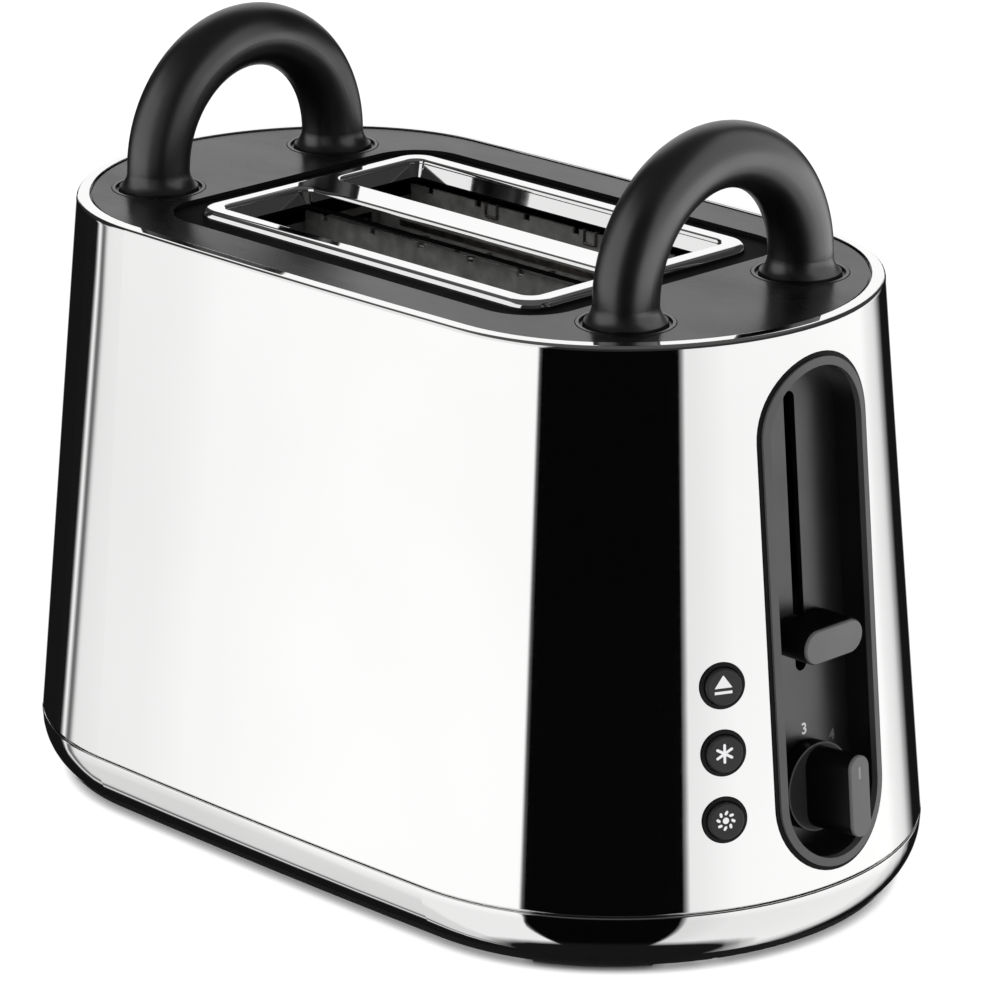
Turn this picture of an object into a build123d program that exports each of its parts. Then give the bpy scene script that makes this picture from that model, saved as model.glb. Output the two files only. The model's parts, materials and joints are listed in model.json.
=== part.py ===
from build123d import *
import os
from math import atan, atan2, cos, degrees, hypot, radians, sin, sqrt, tan

# Two-slot toaster. Millimetres. The long axis is X and the controls are at its +X end.
# The floor is z = 0 and the origin is the middle of the footprint.

# Body outline at the rim, seen from above: long side arcs, corner arcs and end arcs, all tangent
rim_z = 204.0
rim_half_length = 152.45
rim_half_width = 83.5
side_radius = 3146.0
corner_radius = 70.2
end_radius = 86.4
draft = 0.0877
draft_angle = degrees(atan(draft))

# Polished shell and the base band under it
sheet = 1.2
lip_width = 4.4
lip_rise = 0.35
rim_round = 1.6
seam_z = 22.0
seam_gap = 0.4
band_bottom_z = 6.3
curl_z = 21.6
curl_bottom_z = 2.5
curl_inset = 10.46
tongue_top_z = 29.0
base_z = 2.2
base_floor = 2.2
foot_height = 2.2
foot_angle = 49.0
foot_half_turn = 15.0

# Top deck, black surround and slot frame
deck_z = 203.8
deck_gap = 0.85
deck_half_length_hole = 89.5
deck_half_width_hole = 61.6
deck_hole_radius = 19.0
trough_depth = 1.5
frame_half_length = 80.0
frame_half_width = 52.1
frame_radius = 10.0
frame_rise = 1.5
slot_length = 145.0
slot_width = 37.3
slot_y = 25.85
slot_radius = 4.0
slot_edge_round = 1.6
frame_edge_round = 2.8
chute_bottom_z = 199.4
chute_wall = 0.8
chute_taper = 20.0
chute_step = 0.02

# Hoop handles
leg_x = 109.7
leg_y = 39.9
tube_radius = 10.6
hoop_z = 209.6
foot_radius = 13.2
collar_radius = 15.7
collar_land = 1.0
collar_depth = 0.9
seat_z = 201.0

# Control recess in the +X end
seal_half_width = 24.9
bezel_half_width = 23.5
bezel_width = 2.7
bezel_rise = 1.0
recess_bottom_z = 27.3
recess_top_z = 195.0
recess_depth = 12.8
recess_wall = 2.0
recess_flange = 7.6
lever_slot_width = 5.0
lever_slot_bottom_z = 89.1
lever_slot_top_z = 179.9

# Lift lever, its carriage and the bread racks
lever_z = 102.25
lever_width = 26.6
lever_height = 11.6
lever_front_x = 163.7
lever_face_depth = 1.2
lever_face_inset = 0.35
lift_travel = 70.0
arm_thickness = 2.0
rod_x = 98.0
rod_y = 22.0
rod_radius = 2.5
running_gap = 0.06
rack_bottom_z = 60.0
rack_top_z = 68.0

# Browning knob, measured from the back of the recess
knob_z = 51.8
skirt_radius = 14.4
skirt_back = 1.2
skirt_front = 5.7
knob_face_back = 22.2
knob_front = 23.3
fin_width = 8.6
fin_length = 26.8
fin_root_width = 13.0
spindle_radius = 3.0

# Push buttons, standing square to the shell
button_angle = 24.8
button_heights = (95.4, 73.7, 52.0)
button_radius = 6.0
button_rise = 2.0
ring_inner_radius = 6.3
ring_radius = 7.5
button_travel = 1.5

# Toasting chamber
plate_x = 80.0
plate_thickness = 1.2
chassis_half_width = 53.0
chassis_top_z = 190.2
board_bottom_z = 58.0
board_top_z = 194.0
clip_spots = (-40.0, 7.0, 54.0)
clip_width = 5.4
clip_wire = 0.45
clip_bottom_z = 190.0
clip_hook = 1.0
outer_board_y = 49.0
mica = 1.0
ribbon_thickness = 0.4
guard_closed = 11.5
guard_travel = 6.0
wire_radius = 1.0

# Crumb tray, drawn out of the +Y side
tray_half_length = 73.0
tray_floor_z = 9.2
tray_opening_half = 76.0
tray_opening_bottom_z = 8.2
tray_opening_top_z = 19.4

SIGNS = (-1, 1)
CORNERS = [(sx, sy) for sx in SIGNS for sy in SIGNS]


# Outline geometry
end_centre = rim_half_length - end_radius
side_centre = rim_half_width - side_radius


def corner_centre():
    """Centre of the corner arc, tangent inside both the side arc and the end arc."""
    r_side = side_radius - corner_radius
    r_end = end_radius - corner_radius
    gap = hypot(end_centre, side_centre)
    along = (r_side**2 - r_end**2 + gap**2) / (2 * gap)
    across = sqrt(r_side**2 - along**2)
    ux = end_centre / gap
    uy = -side_centre / gap
    return along * ux + across * uy, side_centre + along * uy - across * ux


corner_x, corner_y = corner_centre()
end_turn = degrees(atan2(corner_y, corner_x - end_centre))
side_turn = degrees(atan2(corner_y - side_centre, corner_x))

# Each arc of the outline: centre x, centre y, radius, first angle, last angle
ARCS = [
    (end_centre, 0, end_radius, -end_turn, end_turn),
    (corner_x, corner_y, corner_radius, end_turn, side_turn),
    (0, side_centre, side_radius, side_turn, 180 - side_turn),
    (-corner_x, corner_y, corner_radius, 180 - side_turn, 180 - end_turn),
    (-end_centre, 0, end_radius, 180 - end_turn, 180 + end_turn),
    (-corner_x, -corner_y, corner_radius, 180 + end_turn, 180 + side_turn),
    (0, -side_centre, side_radius, 180 + side_turn, 360 - side_turn),
    (corner_x, -corner_y, corner_radius, 360 - side_turn, 360 - end_turn),
]


def outline(offset):
    """Flat face of the body outline, grown or shrunk from the rim outline."""
    edges = [CenterArc((cx, cy), r + offset, a0, a1 - a0) for cx, cy, r, a0, a1 in ARCS]
    return make_face(edges)


def wall(z):
    """How far the shell stands outside the rim outline at height z."""
    return draft * (rim_z - z)


def curl(z):
    """How far the base stands outside the rim outline where it curls under."""
    inset = curl_inset * (max(curl_z - z, 0.0) / (curl_z - curl_bottom_z)) ** 2
    return wall(z) - inset


def sweep_section(section, arcs=ARCS):
    """Carry a section, drawn as offset from the rim outline against height, along the arcs."""
    pieces = []
    for cx, cy, radius, first, last in arcs:
        c = cos(radians(first))
        s = sin(radians(first))
        spot = Plane(origin=(cx, cy, 0), x_dir=(c, s, 0), z_dir=(s, -c, 0))
        face = spot * (Pos(radius, 0) * section)
        pieces.append(revolve(face, Axis((cx, cy, 0), (0, 0, 1)), last - first))
    if len(pieces) == 1:
        return pieces[0]
    return pieces[0].fuse(*pieces[1:]).clean()


def polygon(*points):
    return make_face(Polyline(*points, close=True))


def rounded(section, radius, *spots):
    """Round the corners of a flat face that lie at the given spots."""
    corners = [v for v in section.vertices() if any(hypot(v.X - x, v.Y - y) < 0.01 for x, y in spots)]
    return fillet(corners, radius)


# Basic solids
def block(x0, x1, y0, y1, z0, z1):
    middle = ((x0 + x1) / 2, (y0 + y1) / 2, (z0 + z1) / 2)
    return Pos(*middle) * Box(x1 - x0, y1 - y0, z1 - z0)


def post(x, y, z0, z1, radius):
    return Pos(x, y, (z0 + z1) / 2) * Cylinder(radius, z1 - z0)


def bar_x(y, z, x0, x1, radius):
    return Pos((x0 + x1) / 2, y, z) * Rot(0, 90, 0) * Cylinder(radius, x1 - x0)


def along(plane, radius, back, front):
    """Cylinder on the axis of a plane, between two distances from it."""
    return plane * (Pos(0, 0, (back + front) / 2) * Cylinder(radius, front - back))


def plate_outline(half_length, half_width, radius, z0, z1):
    face = Pos(0, 0, z0) * RectangleRounded(2 * half_length, 2 * half_width, radius)
    return extrude(face, z1 - z0)


def fuse_all(shapes):
    return shapes[0].fuse(*shapes[1:]).clean()


def cut_all(shape, tools):
    for tool in tools:
        shape = shape - tool
    return shape


def pill(half_width, x0, x1, grow=0.0):
    """Upright capsule of the control recess, as a prism along X; grow moves its ends with its sides."""
    height = recess_top_z - recess_bottom_z - 2 * (seal_half_width - half_width)
    spot = Plane(origin=(x0, 0, (recess_top_z + recess_bottom_z) / 2), x_dir=(0, 1, 0), z_dir=(1, 0, 0))
    face = SlotOverall(height + 2 * grow, 2 * (half_width + grow), rotation=90)
    return extrude(spot * face, x1 - x0)


def end_layer(outer, inner, z0, z1, half_angle=45.0, side=1):
    """Part of the end wall between two depths from the shell's outer face, following its draft."""
    section = polygon(
        (wall(z0) + outer, z0), (wall(z1) + outer, z1), (wall(z1) + inner, z1), (wall(z0) + inner, z0)
    )
    middle = 0 if side > 0 else 180
    arc = (side * end_centre, 0, end_radius, middle - half_angle, middle + half_angle)
    return sweep_section(section, [arc])


def recess_back_x(z):
    return rim_half_length + wall(z) - recess_depth


# Plane of the recess back at the knob's axis: local x is +Y, local y runs up the recess
panel = Plane(
    origin=(recess_back_x(knob_z), 0, knob_z),
    x_dir=(0, 1, 0),
    z_dir=(cos(radians(draft_angle)), 0, sin(radians(draft_angle))),
)


def button_plane(z):
    """Plane on the shell's face at a button: local z points out, local y runs up the shell."""
    c = cos(radians(button_angle))
    s = -sin(radians(button_angle))
    reach = end_radius + wall(z)
    tilt = radians(draft_angle)
    return Plane(
        origin=(end_centre + reach * c, reach * s, z),
        x_dir=(-s, c, 0),
        z_dir=(c * cos(tilt), s * cos(tilt), sin(tilt)),
    )


# Shell, base and feet
def outer_shell():
    bottom = seam_z + seam_gap
    outer_low = (wall(bottom), bottom)
    outer_top = (0.0, rim_z)
    lip_top = (-lip_width, rim_z + lip_rise)
    section = polygon(
        outer_low,
        outer_top,
        lip_top,
        (-lip_width, rim_z - sheet),
        (wall(rim_z - sheet) - sheet, rim_z - sheet),
        (wall(bottom) - sheet, bottom),
    )
    section = rounded(section, rim_round, outer_top)
    section = rounded(section, 0.7, outer_low)
    section = rounded(section, 0.4, lip_top)
    shell = sweep_section(section)
    holes = [pill(seal_half_width, 130, 180, grow=0.15)]
    holes += [along(button_plane(z), ring_radius + 0.1, -8, 8) for z in button_heights]
    holes.append(bar_x(0, gland_z, -180, -150, gland_radius + 0.1))
    return cut_all(shell, holes)


def band_section():
    """Base band: curls in under the body, with a tongue up behind the shell's lower edge."""
    top = seam_z
    low = band_bottom_z
    middle = (top + low) / 2
    thick = 1.5
    tongue = 1.2
    rise = tongue_top_z - top
    outer = ThreePointArc((curl(top), top), (curl(middle), middle), (curl(low), low))
    bottom = Line((curl(low), low), (curl(low) - thick, low))
    inner = ThreePointArc(
        (curl(low) - thick, low), (curl(middle) - thick - 0.6, middle), (wall(top) - thick - tongue, top - 2)
    )
    rest = Polyline(
        (wall(top) - thick - tongue, top - 2),
        (wall(top + rise) - thick - tongue, top + rise),
        (wall(top + rise) - thick, top + rise),
        (wall(top) - thick, top),
        (curl(top), top),
    )
    section = make_face([outer, bottom, inner, rest])
    return rounded(section, 0.6, (curl(top), top))


boss_radius = 4.5
screw_spots = []
for sx in SIGNS:
    for angle in (-25, 25):
        reach = end_radius + 3.5
        spot_x = end_centre + reach * cos(radians(angle))
        screw_spots.append((sx * spot_x, reach * sin(radians(angle)), sx * angle))


def screw_boss(x, y, turn):
    """Boss inside the band for a base screw, joined to the band by a web."""
    boss = post(x, y, base_z + base_floor, 15, boss_radius)
    out = 1 if x > 0 else -1
    web = Pos(x, y, 0) * Rot(0, 0, turn) * block(min(0, out * 9.4), max(0, out * 9.4), -1.5, 1.5, 9.5, 15)
    return boss + web - post(x, y, 0, 14, 2.0)


def base_band():
    band = sweep_section(band_section())
    for x, y, turn in screw_spots:
        band = band + screw_boss(x, y, turn)
    opening = block(
        -tray_opening_half, tray_opening_half, rim_half_width, 110, tray_opening_bottom_z, tray_opening_top_z
    )
    return band - opening


def base_plate():
    """Black base: a floor, the dark strip below the band, and a low upstand behind it."""
    top = band_bottom_z
    middle = (top + base_z) / 2
    outer = ThreePointArc((curl(top), top), (curl(middle), middle), (curl(base_z), base_z))
    rest = Polyline(
        (curl(base_z), base_z),
        (0.0, base_z),
        (0.0, base_z + base_floor),
        (curl(top) - 4.0, base_z + base_floor),
        (curl(top) - 4.0, top + 1.8),
        (curl(top) - 2.0, top + 1.8),
        (curl(top) - 2.0, top),
        (curl(top), top),
    )
    rim = sweep_section(rounded(make_face([outer, rest]), 0.8, (curl(base_z), base_z)))
    floor = extrude(Pos(0, 0, base_z) * outline(0.05), base_floor)
    plate = rim + floor
    for sx in SIGNS:
        plate = plate + block(sx * 75 - 2, sx * 75 + 2, -56, 76, base_z + base_floor, tray_floor_z - 0.1)
    vents = []
    for column in range(7):
        for row in SIGNS:
            spot = Pos((column - 3) * 18, row * 24, base_z)
            vents.append(extrude(spot * SlotOverall(34, 4, rotation=90), base_floor))
    holes = []
    for x, y, turn in screw_spots:
        holes.append(post(x, y, 0, 5, 2.0))
        holes.append(post(x, y, 0, base_z + 1.2, 3.9))
        holes.append(post(x, y, base_z + base_floor, 12, boss_radius + 0.3))
    return cut_all(plate, vents + holes)


def rubber_feet():
    """Four pads that follow the corners of the base."""
    section = polygon((-8.5, 0), (3.5, 0), (3.5, foot_height), (-8.5, foot_height))
    section = rounded(section, 0.7, (3.5, 0), (-8.5, 0))
    pads = []
    for sx, sy in CORNERS:
        turn = foot_angle if sx * sy > 0 else -foot_angle
        middle = turn if sx > 0 else turn + 180
        arc = (sx * corner_x, sy * corner_y, corner_radius, middle - foot_half_turn, middle + foot_half_turn)
        pads.append(sweep_section(section, [arc]))
    return pads


def base_screws():
    screws = []
    for x, y, turn in screw_spots:
        head = post(x, y, base_z + 0.1, base_z + 1.2, 3.6)
        cross = block(x - 2, x + 2, y - 0.4, y + 0.4, base_z, base_z + 0.7)
        cross = cross + block(x - 0.4, x + 0.4, y - 2, y + 2, base_z, base_z + 0.7)
        screws.append(head - cross + post(x, y, base_z + 1.2, 13.5, 1.9))
    return screws


def tie_rods():
    """Rods that draw the deck down on the base."""
    return [post(sx * 112, sy * 60, base_z + base_floor, deck_bottom_z, 3.0) for sx, sy in CORNERS]


# Deck, surround, slot frame
deck_bottom_z = 199.4


def top_deck():
    plate = extrude(Pos(0, 0, deck_bottom_z) * outline(-lip_width - deck_gap), deck_z - deck_bottom_z)
    skirt = extrude(Pos(0, 0, deck_bottom_z) * outline(-2.0), rim_z - sheet - 0.3 - deck_bottom_z)
    deck = plate + skirt
    for sx, sy in CORNERS:
        deck = deck + post(sx * leg_x, sy * leg_y, 192, 200, 14)
    holes = [plate_outline(deck_half_length_hole, deck_half_width_hole, deck_hole_radius, 190, 210)]
    for sx, sy in CORNERS:
        holes.append(post(sx * leg_x, sy * leg_y, seat_z, 210, collar_radius + 0.3))
        holes.append(post(sx * leg_x, sy * leg_y, 190, 202, 2.7))
    return cut_all(deck, holes)


def slot_openings(grow, z0, z1, taper=0.0):
    """The two slots as prisms from z1 down to z0. A taper draws in the ends and the outer side downwards."""
    tools = []
    for sy in SIGNS:
        length = slot_length + 2 * grow
        width = slot_width + 2 * grow
        spot = Pos(0, sy * slot_y, z1)
        tool = extrude(spot * RectangleRounded(length, width, slot_radius + grow), z0 - z1)
        if taper:
            spare = (z1 - z0) * tan(radians(taper)) + 1
            wide = Pos(0, -sy * spare / 2, 0) * RectangleRounded(length, width + spare, slot_radius + grow)
            tool = tool & extrude(spot * wide, z0 - z1, taper=taper)
        tools.append(tool)
    return tools


def slot_surround():
    floor_z = deck_z - trough_depth
    clear = 0.15
    half_length = deck_half_length_hole - clear
    half_width = deck_half_width_hole - clear
    upper = plate_outline(half_length, half_width, deck_hole_radius - clear, deck_bottom_z, floor_z)
    lower = plate_outline(93, 65, 20, deck_bottom_z - 2, deck_bottom_z)
    return cut_all(upper + lower, slot_openings(1.3, 190, 210))


def slot_frame():
    """Polished frame: a rounded rim, and a chute under each slot with walls that lean in."""
    floor_z = deck_z - trough_depth
    top_z = deck_z + frame_rise
    rim = plate_outline(frame_half_length, frame_half_width, frame_radius, floor_z, top_z)
    rim = fillet(rim.edges().filter_by_position(Axis.Z, top_z - 0.01, top_z + 0.01), frame_edge_round)
    rim = cut_all(rim, slot_openings(0, floor_z - 1, top_z + 1))
    slot_edges = rim.edges().filter_by_position(Axis.Z, top_z - 0.01, top_z + 0.01)
    inner_edges = [edge for edge in slot_edges if abs(edge.center().Y) < slot_y + slot_width / 2 + 1]
    inner_edges = [edge for edge in inner_edges if abs(edge.center().X) < slot_length / 2 + 1]
    rim = fillet(inner_edges, slot_edge_round)
    chute_top_z = top_z - slot_edge_round - chute_step
    for chute in slot_openings(chute_wall, chute_bottom_z, chute_top_z, chute_taper):
        rim = rim + chute
    return cut_all(rim, slot_openings(0, chute_bottom_z - 2, chute_top_z, chute_taper))


# Handles
def hoop_handle(sx):
    """Half ring on two flared legs, with a screw hole up each leg."""
    leg_top = Plane(origin=(sx * leg_x, leg_y, hoop_z), x_dir=(1, 0, 0), z_dir=(0, 0, 1))
    ring_face = leg_top * Circle(tube_radius)
    hoop = revolve(ring_face, Axis((sx * leg_x, 0, hoop_z), (1, 0, 0)), 180)
    flare = ThreePointArc(
        (tube_radius, hoop_z), (tube_radius + 0.75, hoop_z - 3.0), (foot_radius, deck_z + 0.7)
    )
    rest = Polyline(
        (foot_radius, deck_z + 0.7), (foot_radius, seat_z), (0, seat_z), (0, hoop_z), (tube_radius, hoop_z)
    )
    leg_face = Plane.XZ * make_face([flare, rest])
    leg = revolve(leg_face, Axis.Z, 360)
    shape = hoop
    for sy in SIGNS:
        shape = shape + Pos(sx * leg_x, sy * leg_y, 0) * leg
    for sy in SIGNS:
        shape = shape - post(sx * leg_x, sy * leg_y, seat_z - 1, 216, 2.5)
    return shape


def handle_collars():
    """Rings that the handle legs stand in, each with a raised land round a step down to the leg."""
    section = polygon(
        (foot_radius + 0.4, seat_z),
        (collar_radius, seat_z),
        (collar_radius, deck_z + 0.15),
        (collar_radius - collar_land, deck_z + 0.15),
        (collar_radius - collar_land - 0.3, deck_z - collar_depth),
        (foot_radius + 0.4, deck_z - collar_depth),
    )
    ring = revolve(Plane.XZ * section, Axis.Z, 360)
    return [Pos(sx * leg_x, sy * leg_y, 0) * ring for sx, sy in CORNERS]


def handle_screws():
    screws = []
    for sx, sy in CORNERS:
        x = sx * leg_x
        y = sy * leg_y
        head = post(x, y, 188.8, 192, 4.5) - Pos(x, y, 189.5) * extrude(RegularPolygon(2, 6), 3, both=True)
        screws.append(head + post(x, y, 191.2, 213, 2.4))
    return screws


# Control recess
def control_bezel():
    ring = pill(bezel_half_width, 130, 180) - pill(bezel_half_width - bezel_width, 130, 180)
    layer = end_layer(bezel_rise, -1.3, recess_bottom_z - 5, recess_top_z + 5)
    return ring & layer


def bezel_seal():
    """Black seal between the bezel and the edge of the opening in the shell."""
    ring = pill(seal_half_width, 130, 180) - pill(bezel_half_width, 130, 180)
    return ring & end_layer(0.25, -1.3, recess_bottom_z - 5, recess_top_z + 5)


def recess_region(depth, x1=185):
    """Everything in front of a plane that lies the given depth behind the back of the recess."""
    z0 = 20
    z1 = 200
    face = Plane.XZ * polygon(
        (recess_back_x(z0) - depth, z0), (x1, z0), (x1, z1), (recess_back_x(z1) - depth, z1)
    )
    return extrude(face, 40, both=True)


def control_tub():
    """Moulded recess: back, side walls, a flange behind the shell, and posts for the control board."""
    inner_half = bezel_half_width - bezel_width
    behind = end_layer(-1.35, -70, 20, 200, 60)
    walls = pill(inner_half + recess_wall, 120, 180) & recess_region(recess_wall) & behind
    flange_layer = end_layer(-1.35, -3.4, tongue_top_z + 0.4, 203, 60)
    flange = pill(inner_half, 130, 180, grow=recess_flange) & flange_layer
    tub = walls + flange - (pill(inner_half, 120, 180) & recess_region(0))
    for x, y in ((-9, -19), (9, -19), (-17, 25), (17, 25)):
        tub = tub + panel * (Pos(x, y, -8.5) * Cylinder(2.5, 15))
    slot_spot = Plane(
        origin=(120, 0, (lever_slot_bottom_z + lever_slot_top_z) / 2), x_dir=(0, 1, 0), z_dir=(1, 0, 0)
    )
    slot_face = SlotOverall(lever_slot_top_z - lever_slot_bottom_z, lever_slot_width, rotation=90)
    return cut_all(tub, [extrude(slot_spot * slot_face, 60), along(panel, spindle_radius + 0.5, -10, 10)])


# Lift lever and carriage
grip_back_x = recess_back_x(lever_z - lever_height / 2) + 0.7
arm_end_x = grip_back_x + 7.0
arm_bottom_z = lever_z - 4.8
arm_top_z = lever_z + 4.4
carriage_x = 88.0
carriage_plate = 1.5


def capsule_x(width, height, x0, x1):
    spot = Plane(origin=(x0, 0, lever_z), x_dir=(0, 1, 0), z_dir=(1, 0, 0))
    return extrude(spot * SlotOverall(width, height), x1 - x0)


def lever_grip():
    grip = capsule_x(lever_width, lever_height, grip_back_x, lever_front_x - lever_face_depth)
    gap = 0.05
    pocket = block(
        grip_back_x - 1, arm_end_x + gap, -arm_thickness / 2 - gap, arm_thickness / 2 + gap,
        arm_bottom_z - gap, arm_top_z + gap,
    )
    return grip - pocket


def lever_face():
    inset = 2 * lever_face_inset
    face_back_x = lever_front_x - lever_face_depth
    face = capsule_x(lever_width - inset, lever_height - inset, face_back_x, lever_front_x)
    front = face.faces().sort_by(Axis.X)[-1]
    return fillet(front.edges(), 0.5)


def carriage():
    """Sheet steel carriage: a plate behind the chamber, the lever arm, and a shelf for the keeper."""
    x0 = carriage_x
    x1 = carriage_x + carriage_plate
    plate = block(x0, x1, -34, 34, 58, 112) - block(x0 - 1, x1 + 1, -12, 12, 64, 84)
    arm = block(x1 - 0.5, arm_end_x, -arm_thickness / 2, arm_thickness / 2, arm_bottom_z, arm_top_z)
    shelf = block(x1 - 0.5, 118, -8, 8, 90, 91.5)
    return fuse_all([plate, arm, shelf])


def carriage_bushings():
    bushings = []
    for sy in SIGNS:
        body = block(carriage_x + carriage_plate, rod_x + 6, sy * rod_y - 6, sy * rod_y + 6, 94, 111)
        bushings.append(body - post(rod_x, sy * rod_y, 90, 120, rod_radius + running_gap))
    return bushings


def keeper_plate():
    return block(magnet_x - 7, magnet_x + 7, -7, 7, 87.8, 90)


def guide_rods():
    return [post(rod_x, sy * rod_y, base_z + base_floor + plate_thickness, 191, rod_radius) for sy in SIGNS]


def bread_rack(sy):
    """Rack that the bread stands on: a spine with cross fingers, and tongues at its ends."""
    y = sy * slot_y
    spine = block(-plate_x - 4, carriage_x, y - 1, y + 1, rack_bottom_z, rack_top_z - 2)
    pieces = [spine]
    for step in range(11):
        x = (step - 5) * 14
        pieces.append(block(x - 0.75, x + 0.75, y - 8.5, y + 8.5, rack_bottom_z + 3, rack_top_z))
    for edge in SIGNS:
        rail_y = y + edge * 8.5
        pieces.append(block(-72, 72, rail_y - 0.6, rail_y + 0.6, rack_bottom_z + 3, rack_bottom_z + 5.5))
    return fuse_all(pieces)


def return_spring():
    """Coil spring between the lever arm and the top flange."""
    bottom = arm_top_z + 0.9
    top = chassis_top_z - plate_thickness - 0.7
    turns = 10
    coil = Helix(pitch=(top - bottom) / turns, height=top - bottom, radius=3.2)
    start = coil @ 0
    section = Plane(origin=start, z_dir=coil % 0) * Circle(0.45)
    return Pos(rod_x, 0, bottom) * sweep(section, path=coil, is_frenet=True)


# Holding magnet
magnet_x = 111.0


def magnet_bracket():
    floor = base_z + base_floor
    upright = block(118, 119.5, -10, 10, floor, 60)
    foot = block(107, 119.5, -10, 10, floor, floor + 1.5)
    shelf = block(101, 119.5, -10, 10, 58.5, 60)
    return fuse_all([upright, foot, shelf]) - post(magnet_x, 0, 50, 70, 4.02)


def magnet_core():
    return post(magnet_x, 0, 57.5, 87.6, 4.0)


def magnet_coil():
    coil = post(magnet_x, 0, 62, 84, 9.0)
    flanges = post(magnet_x, 0, 60.1, 62, 10.0) + post(magnet_x, 0, 84, 86, 10.0)
    return coil + flanges - post(magnet_x, 0, 50, 90, 4.1)


# Browning knob and its dial
def capsule_on_panel(width, length, height):
    return panel * (Pos(0, 0, height) * SlotOverall(length, width, rotation=90))


def browning_knob():
    skirt = along(panel, skirt_radius, skirt_back, skirt_front)
    fin = loft([
        capsule_on_panel(fin_root_width, fin_length, skirt_front - 0.5),
        capsule_on_panel(fin_width, fin_length, knob_face_back),
    ])
    return skirt + fin - along(panel, spindle_radius + 0.05, 0, 14)


def knob_face():
    cap = extrude(capsule_on_panel(fin_width, fin_length, knob_face_back), knob_front - knob_face_back)
    front = cap.faces().sort_by(Axis((0, 0, 0), (panel.z_dir.X, 0, panel.z_dir.Z)))[-1]
    return fillet(front.edges(), 0.5)


def dial_spindle():
    return along(panel, spindle_radius, -11.5, 13.9)


def dial_body():
    """Body of the dial behind the recess, bored for its spindle."""
    body = panel * (Pos(0, 0, -11.5) * Box(17, 18, 9))
    neck = along(panel, 4.5, -7.2, -3)
    return body + neck - along(panel, spindle_radius + running_gap, -12, 0)


def control_board():
    board = panel * (Pos(0, 3, -16.8) * Box(46, 54, 1.6))
    return board


def board_parts():
    """Relay, transformer, capacitor and plug on the control board."""
    relay = panel * (Pos(-12, 18, -22.1) * Box(16, 12, 9))
    transformer = panel * (Pos(8, 16, -22.6) * Box(18, 16, 10))
    capacitor = panel * (Pos(-12, -8, -22.1) * Cylinder(5, 9))
    plug = panel * (Pos(10, -14, -21.6) * Box(18, 8, 8))
    return [relay, transformer, capacitor, plug]


# Push buttons
def button(z):
    spot = button_plane(z)
    cap = along(spot, button_radius, -4.5, button_rise)
    front = cap.faces().filter_by(GeomType.PLANE).sort_by(Axis((0, 0, 0), tuple(spot.z_dir)))[-1]
    cap = fillet(front.edges(), 0.6)
    return cap + along(spot, 1.5, -11.8, -4)


def button_carrier():
    """One moulding: three rings through the shell, a plate behind it and posts for the button board."""
    spot = button_plane(button_heights[1])
    half = (button_heights[0] - button_heights[2]) / 2 + 10
    pieces = [spot * (Pos(0, 0, -3.4) * Box(21, 2 * half, 2))]
    for end in SIGNS:
        pieces.append(spot * (Pos(0, end * (half - 1.5), -9.4) * Box(21, 3, 12)))
    for z in button_heights:
        pieces.append(along(button_plane(z), ring_radius, -3.5, 0.5))
    carrier = fuse_all(pieces)
    return cut_all(carrier, [along(button_plane(z), ring_inner_radius, -8, 2) for z in button_heights])


def button_board():
    spot = button_plane(button_heights[1])
    half = (button_heights[0] - button_heights[2]) / 2 + 10
    return spot * (Pos(0, 0, -16.2) * Box(21, 2 * half, 1.6))


def button_switches():
    switches = []
    for z in button_heights:
        spot = button_plane(z)
        body = spot * (Pos(0, 0, -13) * Box(6.4, 6.4, 4.8))
        switches.append(body - along(spot, 1.8, -14.2, -10))
    return switches


# Toasting chamber
def end_plate(sx):
    """Chassis plate across one end of the chamber, with guide slots for the racks and the guards."""
    floor = base_z + base_floor
    inner = sx * plate_x
    outer = sx * (plate_x + plate_thickness)
    x0 = min(inner, outer)
    x1 = max(inner, outer)
    plate = block(x0, x1, -chassis_half_width, chassis_half_width, floor, chassis_top_z)
    reach = sx * (106 if sx > 0 else 94)
    flange_x0 = min(inner, reach)
    flange_x1 = max(inner, reach)
    bottom = block(flange_x0, flange_x1, -30, 30, floor, floor + plate_thickness)
    top = block(flange_x0, flange_x1, -30, 30, chassis_top_z - plate_thickness, chassis_top_z)
    plate = fuse_all([plate, bottom, top])
    tools = []
    for sy in SIGNS:
        y = sy * slot_y
        tools.append(block(x0 - 1, x1 + 1, y - 2.0, y + 2.0, rack_bottom_z - 3, rack_top_z + lift_travel + 2))
        for side in SIGNS:
            near = y + side * (guard_closed - wire_radius - 0.5)
            far = y + side * (guard_closed + guard_travel + wire_radius + 0.5)
            for z in (guard_wire_heights[0], guard_wire_heights[-1]):
                tools.append(block(x0 - 1, x1 + 1, min(near, far), max(near, far), z - 1.5, z + 1.5))
        if sx > 0:
            tools.append(post(rod_x, sy * rod_y, 180, 200, rod_radius + 0.02))
    return cut_all(plate, tools)


guard_wire_heights = [72 + 28.5 * k for k in range(5)]


def bread_guard(y):
    """Wire cage beside the bread, welded up from straight wires."""
    wires = []
    for k, z in enumerate(guard_wire_heights):
        reach = plate_x + 3 if k in (0, len(guard_wire_heights) - 1) else plate_x - 4
        wires.append(bar_x(y, z, -reach, reach, wire_radius))
    for k in range(6):
        x = (k - 2.5) * 30
        wires.append(post(x, y, guard_wire_heights[0] - 1.5, guard_wire_heights[-1] + 1.5, wire_radius))
    return fuse_all(wires)


def mica_board(y0, y1):
    """Mica sheet with small notches along its top edge."""
    board = block(-plate_x, plate_x, y0, y1, board_bottom_z, board_top_z)
    spots = [(k - 3) * 23.5 for k in range(7)]
    notches = [block(x - 1.5, x + 1.5, y0 - 1, y1 + 1, board_top_z - 2, board_top_z + 1) for x in spots]
    return cut_all(board, notches)


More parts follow.
